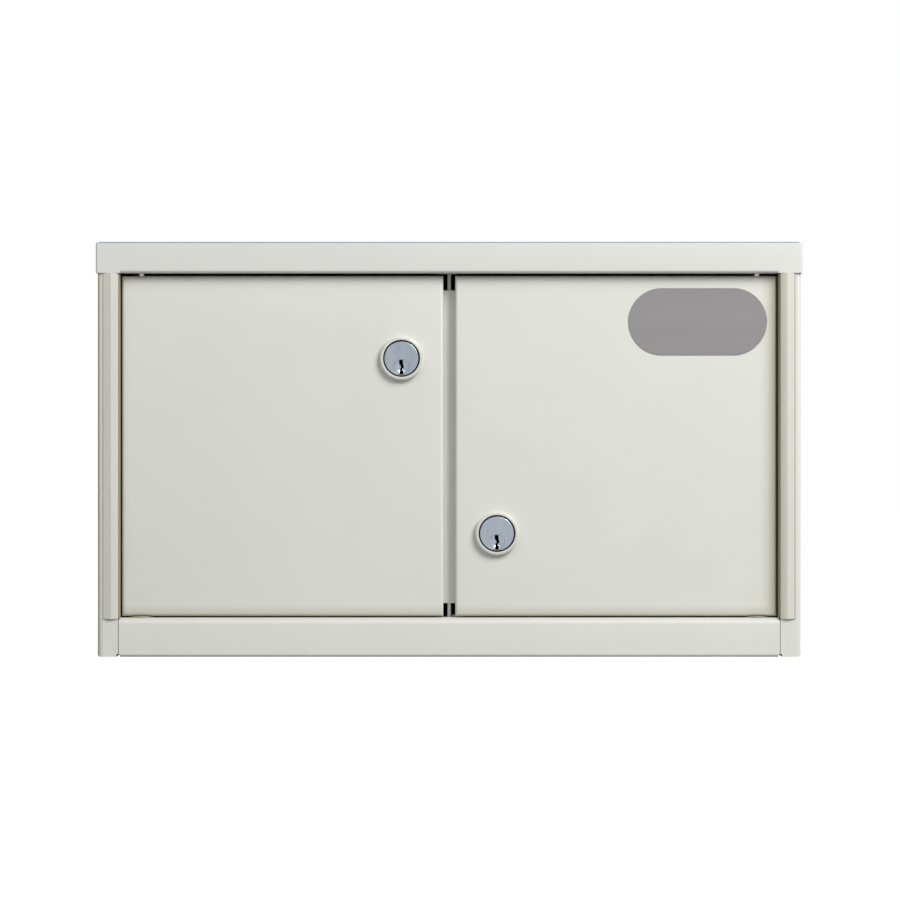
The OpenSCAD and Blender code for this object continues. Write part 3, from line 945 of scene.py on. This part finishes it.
@dataclass
class WeldMarks:
    """The shallow rings that spot-welding tips leave on the sheet, under the paint."""

    shop: Workshop
    paint: BakedCoat
    ring_radius: float = 2.4 * MM
    bead_radius: float = 0.45 * MM
    bead_height: float = 0.1 * MM
    ring_steps: int = 20
    bead_steps: int = 8

    def _tree(self) -> Tree:
        """A tree that sets one flat ring on every point, facing along the point's own vector.

        Returns:
            The geometry tree.
        """
        tree = bpy.data.node_groups.new("Weld marks", "GeometryNodeTree")
        add_socket(tree, "Geometry", "Geometry")
        add_socket(tree, "Ring Radius", "Float", self.ring_radius)
        add_socket(tree, "Bead Radius", "Float", self.bead_radius)
        add_socket(tree, "Bead Height", "Float", self.bead_height)
        add_socket(tree, "Paint", "Material")
        add_socket(tree, "Geometry", "Geometry", output=True)
        inside = add_node(tree, "NodeGroupInput")
        ring = add_node(tree, "GeometryNodeCurvePrimitiveCircle",
                        {"Resolution": self.ring_steps, "Radius": inside.outputs["Ring Radius"]})
        bead = add_node(tree, "GeometryNodeCurvePrimitiveCircle",
                        {"Resolution": self.bead_steps, "Radius": inside.outputs["Bead Radius"]})
        tube = add_node(tree, "GeometryNodeCurveToMesh",
                        {"Curve": ring.outputs["Curve"], "Profile Curve": bead.outputs["Curve"]})
        ratio = add_math(tree, "DIVIDE", inside.outputs["Bead Height"],
                         inside.outputs["Bead Radius"])
        flat = add_node(tree, "ShaderNodeCombineXYZ", {"X": 1.0, "Y": 1.0, "Z": ratio})
        mark = add_node(tree, "GeometryNodeTransform",
                        {"Geometry": tube.outputs["Mesh"], "Scale": flat.outputs["Vector"]})
        facing = add_node(tree, "GeometryNodeInputNamedAttribute", {"Name": "facing"},
                          data_type="FLOAT_VECTOR")
        turn = add_node(tree, "FunctionNodeAlignRotationToVector",
                        {"Vector": facing.outputs["Attribute"]}, axis="Z")
        many = add_node(tree, "GeometryNodeInstanceOnPoints",
                        {"Points": inside.outputs["Geometry"], "Instance": mark.outputs["Geometry"],
                         "Rotation": turn.outputs["Rotation"]})
        real = add_node(tree, "GeometryNodeRealizeInstances",
                        {"Geometry": many.outputs["Instances"]})
        coated = add_node(tree, "GeometryNodeSetMaterial",
                          {"Geometry": real.outputs["Geometry"],
                           "Material": inside.outputs["Paint"]})
        add_node(tree, "NodeGroupOutput", {"Geometry": coated.outputs["Geometry"]})
        return tree

    def build(self, marks: list[tuple[Vector, Vector]]) -> None:
        """Makes all the marks of the cabinet as one piece.

        Args:
            marks: each mark's centre and the way that it faces.
        """
        mesh = bpy.data.meshes.new("weld_marks")
        mesh.from_pydata([tuple(point) for point, _ in marks], [], [])
        facing = mesh.attributes.new("facing", "FLOAT_VECTOR", "POINT")
        facing.data.foreach_set("vector", [c for _, way in marks for c in way])
        piece = add_object("weld_marks", mesh)
        run_tree(piece, self._tree(), {"Paint": self.shop.finish(self.paint)})
        self.shop.baked(piece)
        self.shop.shade(piece)
        self.shop.place(piece, Body.CABINET, self.paint.slot)


def run_tree(piece: bpy.types.Object, tree: Tree, values: dict[str, object]) -> None:
    """Hangs a geometry tree on a piece and sets its named inputs.

    Args:
        piece: the object.
        tree: the geometry tree.
        values: input name to value, for those that differ from their defaults.
    """
    modifier = piece.modifiers.new(tree.name, "NODES")
    modifier.node_group = tree
    for item in tree.interface.items_tree:
        if item.in_out == "INPUT" and item.name in values:
            modifier[item.identifier] = values[item.name]


@dataclass
class Door:
    """One folded door pan, with the blank plate where this side has it."""

    shop: Workshop
    side: Side
    paint: BakedCoat
    plate: PlatedMetal | None = None
    plate_edge: float = 0.16 * MM

    def build(self) -> None:
        """Builds the pan and its plate."""
        node = f"{self.side.value}_door_pan"
        pan = self.shop.softened(node, f"painted_{node}", self.shop.finish(self.paint))
        self.shop.place(pan, self.side.door, self.paint.slot, node)
        if self.plate:
            plate = self.shop.softened("label_plate", "blank_label_plate",
                                       self.shop.finish(self.plate), self.plate_edge)
            self.shop.place(plate, self.side.door, self.plate.slot, "label_plate")


@dataclass
class Lock:
    """A cam lock: the painted collar, the threaded housing, the plug and its cam."""

    shop: Workshop
    side: Side
    collar_paint: BakedCoat
    satin: BrushedMetal
    zinc: PlatedMetal
    shaded: ShadedMetal
    thread_pitch: float = 1.25 * MM
    thread_radius: float = 0.42 * MM
    thread_sink: float = 0.2 * MM
    thread_lap: float = 2 * MM
    thread_gap: float = 3 * MM
    turn_steps: int = 64
    ridge_steps: int = 6
    small_break: float = 0.1 * MM
    small_steps: int = 2
    face_break: float = 0.2 * MM
    face_steps: int = 3
    face_radius: float = 11.15 * MM
    plug_radius: float = 4.98 * MM
    keyway_reach: float = 2.0 * MM
    groove_margin: float = 0.05 * MM
    groove_start: float = 0.2 * MM
    groove_depth: float = 3.6 * MM
    wall_tilt: float = 0.3
    dish_depth: float = 1.3 * MM
    flat_half_width: float = 9.9 * MM

    @property
    def centre(self) -> Vector:
        """The middle of the lock's collar."""
        low, high = (Vector(corner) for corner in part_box(f"{self.side.value}_lock_collar"))
        return (low + high) / 2

    @property
    def breaks(self) -> dict[str, tuple[float, int]]:
        """The edge breaks that differ from the small one: part to width and steps."""
        return {"lock_collar": (0, 0), "lock_plug": (0, 0),
                "lock_housing": (self.face_break, self.face_steps)}

    def _shade_hidden(self, piece: bpy.types.Object) -> None:
        """Paints shade on the keyway's walls and on the groove round the face, in the dark finish.

        Args:
            piece: the housing or the plug.
        """
        mesh = piece.data
        centre = self.centre
        front = min(vertex.co.y for vertex in mesh.vertices)
        joint = next(j for j in frame["record"]["behaviour"]["joints"]
                     if j["name"] == f"{self.side.value}_lock_turn")
        axis = Vector(joint["pos_m"])
        mesh.materials.append(self.shop.finish(self.shaded))
        for face in mesh.polygons:
            spots = [mesh.vertices[index].co for index in face.vertices]
            near = min(math.hypot(spot.x - centre.x, spot.z - centre.z) for spot in spots)
            depth = min(spot.y for spot in spots) - front
            far = max(spot.y for spot in spots) - front
            from_axis = max(math.hypot(spot.x - axis.x, spot.z - axis.z) for spot in spots)
            outward = (face.normal.x * (face.center.x - axis.x)
                       + face.normal.z * (face.center.z - axis.z))
            groove = (near > self.face_radius - self.groove_margin
                      and depth > self.groove_start and far < self.groove_depth)
            wall = (abs(face.normal.y) < self.wall_tilt and far > self.dish_depth
                    and outward < self.keyway_reach)
            keyway = from_axis < self.plug_radius and (wall or depth > self.dish_depth)
            # painted shade on the groove and the keyway's walls
            if groove or keyway:
                face.material_index = 1

    def build(self) -> None:
        """Builds every piece of the lock on its body."""
        side = self.side
        for part, body, finish in (("lock_collar", side.door, self.collar_paint),
                                   ("lock_housing", side.door, self.satin),
                                   ("lock_nut", side.door, self.zinc),
                                   ("lock_plug", side.plug, self.satin),
                                   ("stop_washer", side.plug, self.zinc),
                                   ("lock_cam", side.plug, self.zinc),
                                   ("cam_screw", side.plug, self.zinc)):
            node = f"{side.value}_{part}"
            width, segments = self.breaks.get(part, (self.small_break, self.small_steps))
            piece = self.shop.softened(node, f"fine_{node}", self.shop.finish(finish), width,
                                       segments=segments)
            if finish is self.satin:
                self._shade_hidden(piece)
            self.shop.place(piece, body, finish.slot, node)
        self._thread()

    def _thread_tree(self) -> Tree:
        """A tree that winds a ridge round the housing and leaves out its two flats.

        Returns:
            The geometry tree.
        """
        tree = bpy.data.node_groups.new(f"Housing thread {self.side.value}", "GeometryNodeTree")
        add_socket(tree, "Geometry", "Geometry")
        for name in ("Radius", "Length", "Turns", "Flat Half Width", "Ridge Radius"):
            add_socket(tree, name, "Float", 1.0)
        add_socket(tree, "Start", "Vector")
        add_socket(tree, "Metal", "Material")
        add_socket(tree, "Geometry", "Geometry", output=True)
        inside = add_node(tree, "NodeGroupInput")
        helix = add_node(tree, "GeometryNodeCurveSpiral",
                         {"Resolution": self.turn_steps, "Rotations": inside.outputs["Turns"],
                          "Start Radius": inside.outputs["Radius"],
                          "End Radius": inside.outputs["Radius"],
                          "Height": inside.outputs["Length"]})
        wire = add_node(tree, "GeometryNodeCurveToMesh", {"Curve": helix.outputs["Curve"]})
        spot = add_node(tree, "GeometryNodeInputPosition")
        axes = add_node(tree, "ShaderNodeSeparateXYZ", {"Vector": spot.outputs["Position"]})
        across = add_math(tree, "ABSOLUTE", axes.outputs["X"])
        past = add_node(tree, "FunctionNodeCompare",
                        {"A": across, "B": inside.outputs["Flat Half Width"]},
                        data_type="FLOAT", operation="GREATER_THAN")
        kept = add_node(tree, "GeometryNodeDeleteGeometry",
                        {"Geometry": wire.outputs["Mesh"], "Selection": past.outputs["Result"]})
        arcs = add_node(tree, "GeometryNodeMeshToCurve", {"Mesh": kept.outputs["Geometry"]})
        ridge = add_node(tree, "GeometryNodeCurvePrimitiveCircle",
                         {"Resolution": self.ridge_steps,
                          "Radius": inside.outputs["Ridge Radius"]})
        swept = add_node(tree, "GeometryNodeCurveToMesh",
                         {"Curve": arcs.outputs["Curve"], "Profile Curve": ridge.outputs["Curve"],
                          "Fill Caps": True})
        laid = add_node(tree, "GeometryNodeTransform",
                        {"Geometry": swept.outputs["Mesh"], "Rotation": (-math.pi / 2, 0, 0),
                         "Translation": inside.outputs["Start"]})
        real = add_node(tree, "GeometryNodeRealizeInstances",
                        {"Geometry": laid.outputs["Geometry"]})
        made = add_node(tree, "GeometryNodeSetMaterial",
                        {"Geometry": real.outputs["Geometry"], "Material": inside.outputs["Metal"]})
        add_node(tree, "NodeGroupOutput", {"Geometry": made.outputs["Geometry"]})
        return tree

    def _thread(self) -> None:
        """Makes the thread between the nut and the rear end of the housing."""
        centre = self.centre
        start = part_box(f"{self.side.value}_lock_nut")[1][1] - self.thread_lap
        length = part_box(f"{self.side.value}_lock_cam")[0][1] - start - self.thread_gap
        piece = add_object(f"{self.side.value}_housing_thread", bpy.data.meshes.new("thread"))
        run_tree(piece, self._thread_tree(), {
            "Radius": self.face_radius - self.thread_sink, "Length": length,
            "Turns": length / self.thread_pitch, "Flat Half Width": self.flat_half_width,
            "Ridge Radius": self.thread_radius, "Start": (centre.x, start, centre.z),
            "Metal": self.shop.finish(self.satin)})
        self.shop.baked(piece)
        self.shop.shade(piece)
        self.shop.place(piece, self.side.door, self.satin.slot)


@dataclass(frozen=True)
class Lamp:
    """A square lamp that lights a facing white card by a share of full white.

    Its way leads from the doors to the lamp, and its size is the length of a side.
    """

    name: str
    way: tuple[float, float, float]
    far: float
    size: float
    share: float


@dataclass
class Studio:
    """Camera, pale floor and soft lamps, placed as the photograph has them."""

    pixel: float = 0.65 * MM
    image_width: int = 900
    distance: float = 2.6
    aim_x: float = 0.5 * MM
    aim_z: float = 134.6 * MM
    sensor: float = 36.0
    room_light: float = 0.28
    floor_glow: float = 0.93
    floor_tone: float = 0.3
    floor_size: float = 12.0
    lamps: tuple[Lamp, ...] = (
        Lamp("key_lamp", way=(0.88, -1.0, 1.1), far=2.4, size=1.2, share=1.12),
        Lamp("fill_lamp", way=(-0.95, -1.0, 0.95), far=2.4, size=0.45, share=0.15))

    def build(self) -> None:
        """Sets up the camera, the floor, the lamps and the surrounding light."""
        self._camera()
        self._floor()
        self._room()
        for lamp in self.lamps:
            self._light(lamp)
        bpy.context.scene.view_settings.view_transform = "Standard"

    def _camera(self) -> None:
        """A level camera straight in front of the doors."""
        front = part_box("top_cap")[0][1]
        field_width = self.pixel * self.image_width
        data = bpy.data.cameras.new("camera")
        data.sensor_width = self.sensor
        data.lens = self.sensor * self.distance / field_width
        camera = add_object("camera", data)
        camera.location = (self.aim_x, front - self.distance, self.aim_z)
        camera.rotation_euler = (math.pi / 2, 0, 0)
        bpy.context.scene.camera = camera

    def _seen(self, tree: Tree) -> Socket:
        """A mask that is 1 for rays from the camera, off gloss or through glass.

        Args:
            tree: the material's or world's tree.

        Returns:
            The mask.
        """
        path = add_node(tree, "ShaderNodeLightPath")
        total = path.outputs["Is Camera Ray"]
        for name in ("Is Glossy Ray", "Is Transmission Ray"):
            total = add_math(tree, "MAXIMUM", total, path.outputs[name])
        return total

    def _floor(self) -> None:
        """A pale floor that reads as white and keeps the cabinet's shadow."""
        bm = bmesh.new()
        bmesh.ops.create_grid(bm, x_segments=1, y_segments=1, size=self.floor_size / 2)
        mesh = bpy.data.meshes.new("floor")
        bm.to_mesh(mesh)
        bm.free()
        floor = add_object("floor", mesh)
        material = bpy.data.materials.new("pale floor")
        material.use_nodes = True
        tree = material.node_tree
        tree.nodes.clear()
        matt = add_node(tree, "ShaderNodeBsdfDiffuse", {"Color": (*[self.floor_tone] * 3, 1.0)})
        strength = add_math(tree, "MULTIPLY", self._seen(tree), self.floor_glow)
        glow = add_node(tree, "ShaderNodeEmission", {"Color": WHITE, "Strength": strength})
        both = add_node(tree, "ShaderNodeAddShader")
        for socket, shader in zip(both.inputs, (matt, glow)):
            fill(tree, socket, shader.outputs[0])
        add_node(tree, "ShaderNodeOutputMaterial", {"Surface": both.outputs[0]})
        mesh.materials.append(material)

    def _room(self) -> None:
        """Even light from all round, with a white background behind it."""
        world = bpy.data.worlds.new("studio")
        bpy.context.scene.world = world
        world.use_nodes = True
        tree = world.node_tree
        shade = tree.nodes["Background"]
        shade.inputs["Color"].default_value = WHITE
        level = add_node(tree, "ShaderNodeMapRange",
                         {"Value": self._seen(tree), "To Min": self.room_light, "To Max": 1.0})
        tree.links.new(level.outputs["Result"], shade.inputs["Strength"])

    def _light(self, lamp: Lamp) -> None:
        """Hangs a lamp so that it faces the doors.

        Args:
            lamp: the lamp.
        """
        target = Vector((0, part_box("top_cap")[0][1], self.aim_z))
        away = Vector(lamp.way).normalized() * lamp.far
        data = bpy.data.lights.new(lamp.name, "AREA")
        data.shape = "SQUARE"
        data.size = lamp.size
        data.energy = lamp.share * (math.pi * lamp.far) ** 2
        light = add_object(lamp.name, data)
        light.location = target + away
        light.rotation_euler = away.to_track_quat("Z", "Y").to_euler()


def main() -> None:
    """Builds the cabinet, its doors and locks, and the studio round them."""
    logging.basicConfig(level=logging.INFO, format="%(message)s")
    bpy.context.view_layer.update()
    shop = Workshop(SurfaceGroups.build(), {})
    coats = Coats()
    Cabinet(shop, coats, BRIGHT_ZINC, DIM_ZINC).build()
    Door(shop, Side.LEFT, coats.door(Side.LEFT)).build()
    Door(shop, Side.RIGHT, coats.door(Side.RIGHT), BLANK_PLATE).build()
    for side in Side:
        Lock(shop, side, COLLAR_COAT, SATIN_FACE, BRIGHT_ZINC, KEYWAY_SHADE).build()
    Studio().build()


if __name__ == "__main__":
    main()
